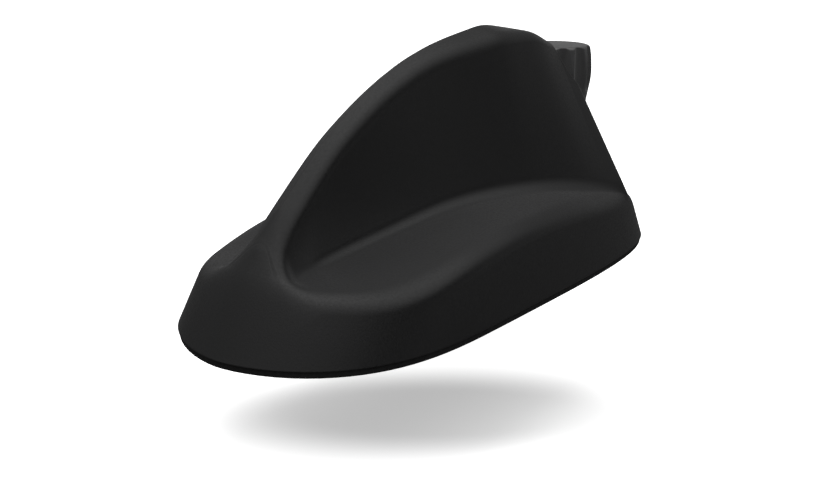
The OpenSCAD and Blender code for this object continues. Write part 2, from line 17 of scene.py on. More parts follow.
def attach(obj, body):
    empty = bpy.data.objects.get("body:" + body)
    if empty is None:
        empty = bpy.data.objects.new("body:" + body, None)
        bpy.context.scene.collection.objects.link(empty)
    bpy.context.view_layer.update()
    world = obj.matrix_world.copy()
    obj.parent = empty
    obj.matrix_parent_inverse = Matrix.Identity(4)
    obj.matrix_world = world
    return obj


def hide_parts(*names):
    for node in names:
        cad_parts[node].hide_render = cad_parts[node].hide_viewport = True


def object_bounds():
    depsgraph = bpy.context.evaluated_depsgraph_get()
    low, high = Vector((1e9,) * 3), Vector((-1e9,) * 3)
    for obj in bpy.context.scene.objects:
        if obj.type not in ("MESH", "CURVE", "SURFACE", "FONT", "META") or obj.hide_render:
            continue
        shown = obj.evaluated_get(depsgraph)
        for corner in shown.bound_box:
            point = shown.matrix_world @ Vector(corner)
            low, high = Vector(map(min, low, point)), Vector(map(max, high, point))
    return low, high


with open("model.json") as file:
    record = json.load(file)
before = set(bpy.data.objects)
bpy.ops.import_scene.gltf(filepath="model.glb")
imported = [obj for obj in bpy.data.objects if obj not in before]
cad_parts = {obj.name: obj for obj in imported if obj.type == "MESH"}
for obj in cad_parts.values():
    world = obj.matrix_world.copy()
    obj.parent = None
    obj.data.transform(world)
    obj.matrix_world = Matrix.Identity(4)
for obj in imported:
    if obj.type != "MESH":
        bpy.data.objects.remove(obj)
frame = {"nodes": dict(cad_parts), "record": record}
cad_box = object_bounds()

MM = 0.001
scene = bpy.context.scene
print("nodes:", len(frame["nodes"]))

# %% [markdown]
# The camera stands ahead of the aerial on its left side, a little above it. It could
# be set by eye, but a few degrees change the whole outline of a fin. Its place, turn
# and lens come from a fit of the outline and the edges, so the picture needs no shift.

# %% Camera
def new_object(name, data):
    """An object in the scene that holds this mesh, lamp or camera."""
    obj = bpy.data.objects.new(name, data)
    scene.collection.objects.link(obj)
    return obj

camera = new_object("camera", bpy.data.cameras.new("camera"))
camera.location = (0.2708, 0.2011, 0.1126)
camera.rotation_euler = (radians(73.5), 0, radians(127.69))
camera.data.lens = 47.2
camera.data.sensor_width = 36
camera.data.clip_start = 0.01
scene.camera = camera
print("camera:", [round(c, 4) for c in camera.location])

# %% [markdown]
# Everything that shines here is made of nodes. These helpers add one node at a time
# and name its inputs, so that a tree reads like a recipe.

# %% Node helpers
WHITE = (1, 1, 1, 1)

def add(tree, kind, inputs=None, **settings):
    """A node with its settings, and with a value or a link on each input that is named."""
    node = tree.nodes.new(kind)
    for key, value in settings.items():
        setattr(node, key, value)
    for key, value in (inputs or {}).items():
        if hasattr(value, "is_output"):
            tree.links.new(value, node.inputs[key])
        else:
            node.inputs[key].default_value = value
    return node

def mix(tree, share, first, second):
    """Two colours mixed: the second alone where share is 1."""
    sides = {"Factor": share, "A": first, "B": second}
    return add(tree, "ShaderNodeMix", sides, data_type="RGBA").outputs["Result"]

def times(tree, first, second):
    """Two values multiplied."""
    return add(tree, "ShaderNodeMath", {0: first, 1: second}, operation="MULTIPLY").outputs[0]

def rescale(tree, value, low, high, bottom=0.0, top=1.0, how="LINEAR"):
    """A value, brought from the range low to high into the range bottom to top."""
    ranges = {"Value": value, "From Min": low, "From Max": high, "To Min": bottom, "To Max": top}
    return add(tree, "ShaderNodeMapRange", ranges, interpolation_type=how).outputs[0]

print("helpers: add, mix, times, rescale")

# %% [markdown]
# The aerial was shot on white under a broad soft light, and its black plastic shows
# what stood round it: bright overhead, dim at the height of the horizon, and dimmer
# still to the left, where the side of the fin looks. Lamps would each leave a glint of
# their own, so a ramp over the height stands for that light, and two cards with ramps
# of their own change it to the left and behind. The camera itself sees plain white.

# %% Light all round
AROUND = {0: 0.05, 16: 0.3, 32: 0.35, 40: 0.6, 60: 0.8, 90: 1.4}
CARDS = {118: {0: 0.7, 8: 0.15, 16: 0.03, 24: 0.03, 40: 0.7, 60: 1.2, 90: 1.4},
         204: {0: 0.15, 16: 0.4, 32: 0.05, 40: 0.1, 60: 1.0, 90: 1.4}}
CARD_EDGE = 0.15
CARD_MIDDLE = 0.95

world = bpy.data.worlds.new("studio")
scene.world = world
world.use_nodes = True
sky = world.node_tree
sky.nodes.clear()
where = add(sky, "ShaderNodeTexCoord").outputs["Generated"]
height = add(sky, "ShaderNodeSeparateXYZ", {0: where}).outputs["Z"]

def sky_ramp(values):
    """The light at each angle above the horizon, in degrees."""
    ramp = add(sky, "ShaderNodeValToRGB", {0: height})
    stops = ramp.color_ramp.elements
    stops[0].color = [values[0]] * 3 + [1]
    stops[1].color = [values[90]] * 3 + [1]
    for angle in list(values)[1:-1]:
        stops.new(sin(radians(angle))).color = [values[angle]] * 3 + [1]
    return ramp.outputs[0]

light = sky_ramp(AROUND)
for turn, values in CARDS.items():
    middle = (cos(radians(turn)), sin(radians(turn)), 0)
    facing = add(sky, "ShaderNodeVectorMath", {0: where, 1: middle}, operation="DOT_PRODUCT")
    share = rescale(sky, facing.outputs["Value"], CARD_EDGE, CARD_MIDDLE, how="SMOOTHSTEP")
    light = mix(sky, share, light, sky_ramp(values))
seen = add(sky, "ShaderNodeLightPath").outputs["Is Camera Ray"]
glow = add(sky, "ShaderNodeBackground", {0: mix(sky, seen, light, WHITE)})
add(sky, "ShaderNodeOutputWorld", {0: glow.outputs[0]})
print("cards at:", list(CARDS))

# %% [markdown]
# One soft lamp overhead casts the shadow on a floor below the stud.

# %% Softbox and floor
AIM = Vector((0, 0, 0.03))
FLOOR_HALF = 60.0
BELOW_STUD = 0.019

overhead = new_object("overhead", bpy.data.lights.new("overhead", "AREA"))
overhead.location = (-0.1, -0.1, 1.1)
overhead.rotation_euler = (AIM - overhead.location).to_track_quat("-Z", "Y").to_euler()
overhead.data.shape = "DISK"
overhead.data.size = 0.8
overhead.data.energy = 3.0
overhead.visible_glossy = False

floor_z = cad_box[0][2] - BELOW_STUD
corners = [(x * FLOOR_HALF, y * FLOOR_HALF, floor_z) for x, y in ((-1, -1), (1, -1), (1, 1), (-1, 1))]
floor_mesh = bpy.data.meshes.new("floor")
floor_mesh.from_pydata(corners, [], [(0, 1, 2, 3)])
ground = new_object("floor", floor_mesh)
scene.view_settings.view_transform = "Standard"
print("floor at", round(floor_z, 4))

# %% [markdown]
# Moulded plastic, rubber and cast metal all show a fine grain: a spark-eroded mould
# leaves small pits of many sizes. A picture of it would blur close up, so one shader
# group makes that grain from noise for every finish. It gives a height for a Bump
# node, and a slow mottle that keeps a large face from looking flat.

# %% Grain group
PIT_SHARE = 0.5

def shader_group(name, values, results):
    """A node group that takes a vector and named values, and gives named results."""
    group = bpy.data.node_groups.new(name, "ShaderNodeTree")
    group.interface.new_socket(name="Vector", in_out="INPUT", socket_type="NodeSocketVector")
    for key, value in values.items():
        socket = group.interface.new_socket(name=key, in_out="INPUT", socket_type="NodeSocketFloat")
        socket.default_value = value
    for key in results:
        group.interface.new_socket(name=key, in_out="OUTPUT", socket_type="NodeSocketFloat")
    start, end = group.nodes.new("NodeGroupInput"), group.nodes.new("NodeGroupOutput")
    return group, start.outputs, end.inputs

sizes = {"Size": 900.0, "Slow Size": 40.0}
grain, given, result = shader_group("moulded_grain", sizes, ["Height", "Mottle"])
small = {"Vector": given["Vector"], "Scale": given["Size"]}
large = {"Vector": given["Vector"], "Scale": given["Slow Size"]}
fine = add(grain, "ShaderNodeTexNoise", {**small, "Detail": 4.0, "Roughness": 0.6})
pits = add(grain, "ShaderNodeTexVoronoi", {**small, "Randomness": 1.0})
slow = add(grain, "ShaderNodeTexNoise", {**large, "Detail": 2.0})
terms = {0: pits.outputs["Distance"], 1: PIT_SHARE, 2: fine.outputs["Fac"]}
relief = add(grain, "ShaderNodeMath", terms, operation="MULTIPLY_ADD")
grain.links.new(relief.outputs[0], result["Height"])
grain.links.new(slow.outputs["Fac"], result["Mottle"])
print("group:", grain.name)

# %% [markdown]
# Handling rubs the high edges of a moulding a little smoother and lighter. The second
# group finds them by how sharply the surface bends, which Geometry's Pointiness tells,
# and breaks the mask up with noise, so that no edge is worn evenly.

# %% Wear group
EDGE_STARTS = 0.52
EDGE_FULL = 0.62

wear, given, result = shader_group("edge_wear", {"Amount": 0.5, "Break Up": 60.0}, ["Edges"])
pointed = add(wear, "ShaderNodeNewGeometry").outputs["Pointiness"]
edges = rescale(wear, pointed, EDGE_STARTS, EDGE_FULL)
patches = {"Vector": given["Vector"], "Scale": given["Break Up"], "Detail": 3.0}
broken = add(wear, "ShaderNodeTexNoise", patches)
strength = times(wear, broken.outputs["Fac"], given["Amount"])
wear.links.new(times(wear, edges, strength), result["Edges"])
print("group:", wear.name)

# %% [markdown]
# A finish is a Principled BSDF with these groups round it. The grain moves the
# roughness and the normal, the mottle and the wear move the colour, and values that
# are the same all over sit on the shader's own sockets. A Bevel node rounds the
# normals at the crisp edges, as a real mould does. So that the cover shows no dark
# image of itself in its scoops, the black parts glow faintly where only reflections
# see them. This is painted light that stands in for a fill.

# %% How a finish is made
# The depth of the grain in metres, and the heights between which it sets the roughness
GRAIN_DEPTH = 0.00012
GRAIN_LOW = 0.3
GRAIN_HIGH = 1.0
ROUGH_SWING = 0.1
# How much lighter a rubbed edge is
RUB_GAIN = 1.8
RUB_LIFT = 0.01

def new_material(name):
    """An empty material and its tree."""
    material = bpy.data.materials.new(name)
    material.use_nodes = True
    material.node_tree.nodes.clear()
    return material, material.node_tree

def finish(name, dark, light, rough, grain_size, bump, metallic=0.0, specular=0.5, slow=40.0, worn=0.4,
           rounding=0.0004, painted_glow=0.0):
    """A material between two colours. The sizes of its patterns are in cells per metre."""
    material, tree = new_material(name)
    spot = add(tree, "ShaderNodeTexCoord").outputs["Object"]
    sizes = {"Vector": spot, "Size": grain_size, "Slow Size": slow}
    pores = add(tree, "ShaderNodeGroup", node_tree=grain, inputs=sizes).outputs
    rubs = add(tree, "ShaderNodeGroup", node_tree=wear, inputs={"Vector": spot, "Amount": worn}).outputs
    rubbed = [min(1, RUB_GAIN * c + RUB_LIFT) for c in light] + [1]
    colour = mix(tree, pores["Mottle"], (*dark, 1), (*light, 1))
    soft = add(tree, "ShaderNodeBevel", {"Radius": rounding}, samples=4)
    bumps = {"Strength": bump, "Distance": GRAIN_DEPTH, "Height": pores["Height"],
             "Normal": soft.outputs[0]}
    swing = (rough - ROUGH_SWING, rough + ROUGH_SWING)
    shader = add(tree, "ShaderNodeBsdfPrincipled", {
        "Base Color": mix(tree, rubs["Edges"], colour, rubbed),
        "Roughness": rescale(tree, pores["Height"], GRAIN_LOW, GRAIN_HIGH, *swing),
        "Normal": add(tree, "ShaderNodeBump", bumps).outputs[0],
        "Metallic": metallic,
        "Specular IOR Level": specular})
    # The black parts glow white to reflected rays only. This is painted light, not a lamp.
    if painted_glow:
        glossy = add(tree, "ShaderNodeLightPath").outputs["Is Glossy Ray"]
        shader.inputs["Emission Color"].default_value = WHITE
        tree.links.new(times(tree, glossy, painted_glow), shader.inputs["Emission Strength"])
    add(tree, "ShaderNodeOutputMaterial", {"Surface": shader.outputs[0]})
    return material

print("grain depth:", GRAIN_DEPTH)

# %% [markdown]
# Each finish has two close colours, a roughness, the size of its grain and how much
# it stands out. The cover is nearly black, the cap is a lighter grey, the gasket is a
# coarse foam, and the hidden parts have the metals, rubbers and plastics that such an
# aerial has. The names on the left are the slots of the record.

# %% The finishes
# The cover and the cap glow faintly to reflected rays. This is painted light, not a lamp.
FINISH = {
    "moulded_cover": finish("cover_plastic", (0.0030, 0.0030, 0.0033), (0.0044, 0.0044, 0.0048),
                            0.38, 1500, 0.16, worn=0.25, painted_glow=0.2),
    "moulded_cap": finish("cap_plastic", (0.048, 0.048, 0.049), (0.062, 0.062, 0.063),
                          0.32, 1700, 0.14, specular=1.0, worn=0.35, painted_glow=0.12),
    "cast_plate": finish("cast_metal", (0.36, 0.37, 0.39), (0.46, 0.47, 0.49),
                         0.45, 700, 0.5, metallic=1.0),
    "seal_rubber": finish("seal_rubber", (0.010, 0.010, 0.010), (0.018, 0.018, 0.018),
                          0.7, 1100, 0.3, specular=0.3),
    "gasket_foam": finish("gasket_foam", (0.006, 0.006, 0.0062), (0.024, 0.024, 0.0245),
                          0.8, 420, 1.0, specular=0.2, slow=900, rounding=0.0007),
    "plated_steel": finish("plated_steel", (0.52, 0.53, 0.55), (0.66, 0.67, 0.68),
                           0.3, 500, 0.15, metallic=1.0),
    "laminate": finish("circuit_laminate", (0.012, 0.09, 0.035), (0.02, 0.14, 0.05), 0.3, 1200, 0.1),
    "ceramic": finish("fired_ceramic", (0.62, 0.57, 0.46), (0.72, 0.68, 0.58), 0.6, 900, 0.2),
    "contact_brass": finish("contact_brass", (0.62, 0.42, 0.15), (0.75, 0.55, 0.25),
                            0.25, 600, 0.1, metallic=1.0),
    "white_plastic": finish("natural_plastic", (0.66, 0.66, 0.62), (0.78, 0.78, 0.75), 0.5, 1000, 0.15),
}
print("finishes:", len(FINISH))

# %% [markdown]
# The floor is white paper. It is dim to every ray but the camera's, so it doesn't
# light the black sides from below. The true shadow reaches further towards the viewer
# than a flat soft ellipse. Outside an ellipse of that size the paper glows white: this
# is painted light that trims the shadow to that ellipse. A camera below the floor looks through it.

# %% Floor paper
# The ellipse of shadow on the floor. Inside it the paper glows with the strength given below, and outside
# it the paper glows fully white. This is painted light.
POOL = (0.0125, 0.0135, 0.0)
POOL_SIZE = (0.043, 0.118, 1.0)
POOL_TURN = 37.7
POOL_CORE = 0.35
GLOW_IN_SHADOW = 0.41
PAPER = (0.9, 0.9, 0.9, 1)
DIM = (0.14, 0.14, 0.14, 1)

def paper():
    """White to the camera and dim to every other ray. Outside an ellipse round the shadow it glows white,
    which is painted light.
    """
    material, tree = new_material("floor_paper")
    spot = add(tree, "ShaderNodeTexCoord").outputs["Object"]
    ellipse = {0: spot, "Location": POOL, "Rotation": (0, 0, radians(POOL_TURN)), "Scale": POOL_SIZE}
    turned = add(tree, "ShaderNodeMapping", ellipse, vector_type="TEXTURE")
    off = add(tree, "ShaderNodeVectorMath", {0: turned.outputs[0]}, operation="LENGTH")
    # Painted light: the paper glows white outside the ellipse, so only the middle of the real shadow
    # shows.
    painted_white_strength = rescale(tree, off.outputs["Value"], POOL_CORE, 1.0, GLOW_IN_SHADOW, 1.0, "SMOOTHSTEP")
    painted_white_glow = add(tree, "ShaderNodeEmission", {"Color": WHITE, "Strength": painted_white_strength})
    plain = add(tree, "ShaderNodeBsdfDiffuse", {"Color": PAPER})
    white = add(tree, "ShaderNodeAddShader", {0: plain.outputs[0], 1: painted_white_glow.outputs[0]})
    dim = add(tree, "ShaderNodeBsdfDiffuse", {"Color": DIM})
    clear = add(tree, "ShaderNodeBsdfTransparent")
    below = add(tree, "ShaderNodeNewGeometry").outputs["Backfacing"]
    top = add(tree, "ShaderNodeMixShader", {0: below, 1: white.outputs[0], 2: clear.outputs[0]})
    seen = add(tree, "ShaderNodeLightPath").outputs["Is Camera Ray"]
    pick = add(tree, "ShaderNodeMixShader", {0: seen, 1: dim.outputs[0], 2: top.outputs[0]})
    add(tree, "ShaderNodeOutputMaterial", {"Surface": pick.outputs[0]})
    return material

floor_mesh.materials.append(paper())
print("pool of shadow:", POOL_SIZE)

# %% [markdown]
# The solids that stay as they are take the finish of their slot. The record names
# one slot for each node.

# %% Dress the solids
slot_of = {part["node"]: part["material_slot"] for part in frame["record"]["subparts"]}
for name, obj in frame["nodes"].items():
    material = FINISH[slot_of[name]]
    if not obj.material_slots:
        obj.data.materials.append(material)
    for held in obj.material_slots:
        held.material = material
print("dressed:", len(slot_of))

# %% [markdown]
# The cover is a loft. Its feature lines run back from the nose: the foot, the edge of
# the shelf, the root of the fin, the edge of the fin's back and the spine. Each line
# is a smooth curve through a few stations, in millimetres, the same as in the solid.
# A station is (x, z) on the shelf's edge, and (x, y, z) on the root and the back.

# %% Sizes and stations of the cover
# The outline: its length, its width, where it is widest, and how full its ends are
LEN = 190.0
WIDE = 88.5
WIDEST = 21.0
HALF = LEN / 2
SIDE = WIDE / 2
NOSE_POWER = (3.4, 1.75)
TAIL_POWER = (3.6, 5.2)
# How far the skirt leans in at the nose, at the side and at the tail
LEAN = (11.2, 3.6, 5.4)
# The thickness of the wall, and the height of the foot over the roof
WALL = 2.6
FOOT = 1.9
# The angles of the scoop's tip and of the fin's rear corner
SCOOP = 19.0
CORNER = 135.0
# Where the fin ends, and where the whip mount stands
FIN_END = 26.8 - HALF
WHIP_X = 19.4 - HALF
SHELF_EDGE = [(88, 20.6), (60, 18.5), (30, 23.0), (0, 25.4), (-40, 23.4), (-90, 15.9)]
ROOT = [(62, 6.4, 20.8), (35, 8.1, 23.8), (5, 13.1, 27.9), (-25, 22.1, 28.3), (-50, 30.2, 25.0),
        (-68.2, 36.3, 21.1)]
BACK = [(79, 6.6, 24.4), (70, 5.9, 33.4), (45, 5.3, 54.0), (12, 5.7, 69.8), (-25, 8.0, 76.7),
        (-40, 7.9, 77.2), (-50, 7.8, 76.4), (-60, 7.6, 72.8)]
print("stations:", len(SHELF_EDGE) + len(ROOT) + len(BACK))

# %% [markdown]
# Straight lines between the stations would leave corners in the light. A cubic with
# the mean slope at each station passes through all of them without a corner, and the
# same rule is easy to write in the CAD source. ease is the soft step for blends.

# %% Smooth curves
def curve(x, stations):
    """The height at x of the smooth curve through the stations, which fall in x."""
    last = len(stations) - 1

    def slope(i):
        ahead, behind = stations[max(i - 1, 0)], stations[min(i + 1, last)]
        return (behind[1] - ahead[1]) / (behind[0] - ahead[0])

    if x > stations[0][0]:
        return stations[0][1] + slope(0) * (x - stations[0][0])
    if x < stations[last][0]:
        return stations[last][1] + slope(last) * (x - stations[last][0])
    i = next(k for k in range(last) if k == last - 1 or x >= stations[k + 1][0])
    span = stations[i + 1][0] - stations[i][0]
    t = (x - stations[i][0]) / span
    return (stations[i][1] * (2 * t ** 3 - 3 * t * t + 1) + slope(i) * span * (t ** 3 - 2 * t * t + t)
            + stations[i + 1][1] * (3 * t * t - 2 * t ** 3) + slope(i + 1) * span * (t ** 3 - t * t))

def ease(t):
    """A soft step from 0 to 1."""
    u = min(max(t, 0.0), 1.0)
    return u * u * (3 - 2 * u)

print("shelf at the middle:", round(curve(0, SHELF_EDGE), 1))

# %% [markdown]
# Seen from above the cover is a rounded outline, fuller at the tail than at the nose.
# The angle a runs round it from the nose, at 0, to the tail, at 180. Each feature
# line has one point at each angle, so a section can be drawn through the five lines.
# With d above 0 every line is drawn in by d, which gives the hollow.

# %% Plan and shelf
def reach(a):
    """How far towards the nose or the tail the outline is at a: 1 at either end."""
    return abs(cos(radians(a))) ** (2 / (NOSE_POWER[0] if a <= 90 else TAIL_POWER[0]))

def spread(a):
    """How far to the side the outline is at a: 1 at its widest place."""
    return abs(sin(radians(a))) ** (2 / (NOSE_POWER[1] if a <= 90 else TAIL_POWER[1]))

def plan(a, inward):
    """The outline at a, drawn in at the nose, at the side and at the tail."""
    x = (WIDEST + (HALF - inward[0] - WIDEST) * reach(a) if a <= 90
         else WIDEST - (HALF - inward[2] + WIDEST) * reach(a))
    return x, (SIDE - inward[1]) * spread(a)

def shelf_line(a, d):
    """The edge of the shelf, above the leaning skirt."""
    free = plan(a, LEAN)
    x, y = plan(a, [lean + d for lean in LEAN])
    return Vector((x, y, curve(free[0], SHELF_EDGE) - d))

TIP = shelf_line(SCOOP, 0)
print("tip of the scoop:", [round(v, 1) for v in TIP])

# %% [markdown]
# The fin's lines start at the tips of the scoops and end at the upright edge behind
# the fin. From there the last sections fan across the fin's rear face. The spine is a
# little higher than the edges of the fin's back, which gives the back its crown.

# %% Lines of the fin
# Degrees behind the scoop's tip in which the root comes free
ROOT_FREE = 20
# The spine: its height over the back's edges, and where that height grows
CROWN = 3.2
CROWN_LEAST = 0.05
CROWN_FROM = -54
CROWN_OVER = 32
# How far the spine keeps behind the tips, at them and at the nose, and its rise there
LEAD = 6.8
NOSE_TOP = 3.0
NOSE_RISE = 0.6
# How far the spine ends ahead of the fin's rear face
SPINE_END = 2
ROOT_Y = [(TIP.x, TIP.y)] + [(x, y) for x, y, z in ROOT]
ROOT_Z = [(TIP.x, TIP.z)] + [(x, z) for x, y, z in ROOT]
BACK_Y = [(x, y) for x, y, z in BACK]
BACK_Z = [(x, z) for x, y, z in BACK]

def back_share(a):
    """How far towards the fin's rear corner the line at a has come: 1 at the corner."""
    return min(reach(a) / reach(CORNER), 1.0)

def fin_x(a, d):
    """How far forward the fin's section at a stands."""
    return (WIDEST + (BACK[0][0] - WIDEST) * reach(a) / reach(SCOOP) if a <= 90
            else WIDEST - (WIDEST - FIN_END - d) * back_share(a))

def fin_side(a):
    """The share of the fin's width that is left as the sections cross its rear face."""
    return 1.0 if a <= CORNER else spread(a) / spread(CORNER)

def sunk(x, y, z, d):
    """A point moved by d square to the fin's back."""
    fall = min((curve(x + 1, BACK_Z) - curve(x - 1, BACK_Z)) / 2, 0.0)
    k = sqrt(1 + fall * fall)
    return Vector((x + d * fall / k, y, z - d / k))

def back_line(a, d):
    """The edge of the fin's back."""
    x = fin_x(a, d)
    return sunk(x, (curve(x, BACK_Y) - d) * fin_side(a), curve(x, BACK_Z), d)

def root_line(a, d):
    """The root of the fin. At the tip of the scoop it lies between the shelf and the back."""
    x, k = fin_x(a, d), ease((a - SCOOP) / ROOT_FREE)
    free = Vector((x, (curve(x, ROOT_Y) - d) * fin_side(a), curve(x, ROOT_Z) - d))
    return (shelf_line(a, d) + back_line(a, d)) / 2 * (1 - k) + free * k

def spine(a, d):
    """The middle line. Ahead of the scoops it runs down to the nose."""
    if a < SCOOP:
        x = TIP.x - NOSE_TOP - (LEAD - NOSE_TOP) * a / SCOOP
    elif a <= 90:
        x = WIDEST + (TIP.x - LEAD - WIDEST) * reach(a) / reach(SCOOP)
    else:
        x = WIDEST - (WIDEST - FIN_END - SPINE_END - d) * back_share(a)
    rise = NOSE_RISE + (1 - NOSE_RISE) * a / SCOOP if a < SCOOP else 1.0
    crown = CROWN * (CROWN_LEAST + (1 - CROWN_LEAST) * ease((x - CROWN_FROM) / CROWN_OVER))
    return sunk(x, 0.0, curve(x, BACK_Z) + crown * rise, d)

print("top of the fin:", round(max(spine(a, 0).z for a in range(20, 135)), 1))

# %% [markdown]
# A section joins the five points with soft bends. In front of the scoops there is no
# shelf, so the section runs straight from the skirt to the spine and the number of
# its points stays the same. Near the tips of the scoops the sections would change too
# fast, so each is averaged with its neighbours, by weights of 1, 4, 6, 4 and 1.

# %% Sections
# The reach of each bend from its corner, on the skirt's side and on the floor's
SHELF_ROUND = 5.0
SHELF_SOFT = 7.0
ROOT_ROUND = 4.4
# The same at the edge of the back, at the tips of the scoops and further back
BROW_ROUND = 6.0
FIN_ROUND = 3.6
# The most that a bend may take of a side, and how that changes from the tips on
SHARE = 0.45
SHELF_SHARE = 0.8
ROOT_SHARE = 0.15
SHARE_CHANGE = 0.25
# Where the back's edge lies between the shelf and the spine, ahead of the tips
TIP_SHARE = 0.42
NOSE_SHARE = 0.4
# Degrees behind the tips in which the shelf grows, and degrees of softening
FULL_SHELF = 30
TIP_SOFT = 9.0
WEIGHTS = (1, 4, 6, 4, 1)
BEND_POINTS = 8

def towards(start, aim, size, share):
    """The point that lies size from start towards aim, or share of the way if that is nearer."""
    way = aim - start
    length = way.length
    return start.copy() if length < 1e-6 else start + way / length * min(size, share * length)

def bend(a, b, c, n):
    """n + 1 points on the soft bend from a to c, with its corner at b."""
    return [(1 - t) ** 2 * a + 2 * t * (1 - t) * b + t * t * c for t in (i / n for i in range(n + 1))]

def section(a, d, foot, n):
    """Half a section of the skin from the foot to the spine."""
    low = Vector((*plan(a, (d, d, d)), foot))
    edge, top = shelf_line(a, d), spine(a, d)
    near = ease((a - SCOOP) / FULL_SHELF)
    if a <= SCOOP:
        share = TIP_SHARE + NOSE_SHARE * (1 - a / SCOOP)
        root, back = edge + (top - edge) * share / 2, edge + (top - edge) * share
    else:
        root, back = root_line(a, d), back_line(a, d)

    def rounded(before, corner, after, size, share_before=SHARE, share_after=SHARE, size_after=None):
        start = towards(corner, before, size, share_before)
        return bend(start, corner, towards(corner, after, size_after or size, share_after), n)

    shelf = rounded(low, edge, root, SHELF_ROUND, SHARE, SHELF_SHARE - SHARE_CHANGE * near, SHELF_SOFT)
    floor = rounded(edge, root, back, ROOT_ROUND, ROOT_SHARE + SHARE_CHANGE * near)
    brow = rounded(root, back, top, BROW_ROUND + (FIN_ROUND - BROW_ROUND) * near)
    return [low] + shelf + floor + brow + [(brow[-1] + top) / 2, top]

def soft_section(a, d, foot, n):
    """The section at a, averaged with its neighbours near the tip of the scoop. The foot stays."""
    step = TIP_SOFT / 2 * max(0.0, 1 - abs(a - SCOOP) / SCOOP)
    near = [section(max(a + i * step, 0.0), d, foot, n) for i in range(-2, 3)]
    zero = Vector((0, 0, 0))
    rows = list(zip(*near))[1:]
    return [near[2][0]] + [sum((q * k / sum(WEIGHTS) for q, k in zip(row, WEIGHTS)), zero) for row in rows]

print("points in the widest section:", len(section(90, 0, FOOT, BEND_POINTS)))

# %% [markdown]
# The sections are joined into one closed skin: quads between neighbours, one face
# under the foot, and the two sides meeting on the spine. Modelling half and mirroring
# it would need a merge along the spine, so the ring runs round both sides instead.

# %% Skin
CLOSER = 1.5
MERGE = 1e-7
SKIN_STEPS = (16, 110, 100, 26)

def solid(name, points, faces):
    """A closed mesh with merged doubles and outward faces."""
    mesh = bpy.data.meshes.new(name)
    mesh.from_pydata(points, [], faces)
    mesh.validate()
    b = bmesh.new()
    b.from_mesh(mesh)
    bmesh.ops.remove_doubles(b, verts=b.verts, dist=MERGE)
    bmesh.ops.dissolve_degenerate(b, edges=b.edges, dist=MERGE)
    bmesh.ops.recalc_face_normals(b, faces=b.faces)
    b.to_mesh(mesh)
    b.free()
    return new_object(name, mesh)

def skin_angles(steps):
    """The angles of the sections, by their numbers on the nose, side, quarter and rear face.

    They lie closer together behind the scoop's tip, and keep 1 degree off the rear corner."""
    nose, side, quarter, rear = steps
    angles = [SCOOP * i / nose for i in range(nose)]
    angles += [SCOOP + (90 - SCOOP) * (i / side) ** CLOSER for i in range(side)]
    angles += [90 + (CORNER - 91) * i / quarter for i in range(quarter + 1)]
    return angles + [CORNER + 1 + (179 - CORNER) * i / rear for i in range(rear + 1)]

def skin(name, d, foot, n, steps):
    """The closed skin through the sections on both sides."""
    angles = skin_angles(steps)
    near = [soft_section(a, d, foot, n) for a in angles]
    end = len(angles) - 1
    last, ring, rows = end - steps[3], 2 * end, len(near[0])
    points = []
    for r in range(rows - 1):
        for j in range(ring):
            q = near[min(j, ring - j)][r]
            points.append((q.x, 0.0 if j % end == 0 else (q.y if j < end else -q.y), q.z))
    points += [tuple(near[j][rows - 1]) for j in range(last + 1)]

    def at(r, j):
        """The number of the point in row r at place j of the ring."""
        k = j % ring
        return r * ring + k if r < rows - 1 else (rows - 1) * ring + min(k, ring - k, last)

    faces = [tuple(reversed(range(ring)))]
    for r in range(rows - 1):
        for j in range(ring):
            quad = [at(r, j), at(r, j + 1), at(r + 1, j + 1), at(r + 1, j)]
            faces.append(tuple(dict.fromkeys(quad)))
    return solid(name, [tuple(v * MM for v in p) for p in points], faces)

cover = skin("aerial_cover", 0.0, FOOT, BEND_POINTS, SKIN_STEPS)
print("skin:", len(cover.data.polygons), "faces")

# %% [markdown]
# Where the sections come together at the tips of the scoops, the light still shows
# small ripples. A toolmaker polishes such a place by hand. Here a few rounds pull its
# points towards the mean of their neighbours, most near the tip and less further out,
# so that the outline elsewhere doesn't move. Points also slide along the surface, so
# the change is measured from the new points to the old surface.

# %% Polish the tips of the scoops
TIP_PLACE = Vector((78, 8, 25))
TIP_REACH = 19
TIP_FADE = 9
STRONGEST = 0.5
ROUNDS = 12

def polish(obj, rounds):
    """Moves the points round the tips of the scoops towards their neighbours."""
    b = bmesh.new()
    b.from_mesh(obj.data)
    old = BVHTree.FromBMesh(b)
    off = {v: (Vector((v.co.x, abs(v.co.y), v.co.z)) / MM - TIP_PLACE).length for v in b.verts}
    pull = {v: STRONGEST * ease((TIP_REACH - away) / TIP_FADE) for v, away in off.items()}
    pull = {v: k for v, k in pull.items() if k > 0}
    for _ in range(rounds):
        moved = []
        for v, k in pull.items():
            mean = sum((e.other_vert(v).co for e in v.link_edges), Vector()) / len(v.link_edges)
            moved.append((v, v.co.lerp(mean, k)))
        for v, place in moved:
            v.co = place
    change = max(old.find_nearest(v.co)[3] for v in pull) / MM
    print("polished:", len(pull), "points, the surface by at most", round(change, 2), "mm")
    b.to_mesh(obj.data)
    b.free()

polish(cover, ROUNDS)

# %% [markdown]
# The cover is hollow, and behind the fin it has a round pocket in which fingers reach
# the cap. The pocket is cut from the skin first. The hollow is the same skin with its
# wall drawn in, less a wider pocket, and is cut out next. Booleans keep each step as
# plain as on a milling machine. Where faces of two tools nearly touch they can leave
# an open edge inside the cover, and the last cell on the cover counts those.

# %% Pocket and hollow
COLUMN_R = 13.4
COLUMN_H = 43.0
POCKET_R = 16.8
OPEN_TOP = 120
FINE_RING = 192
HOLLOW_STEPS = (6, 16, 14, 8)

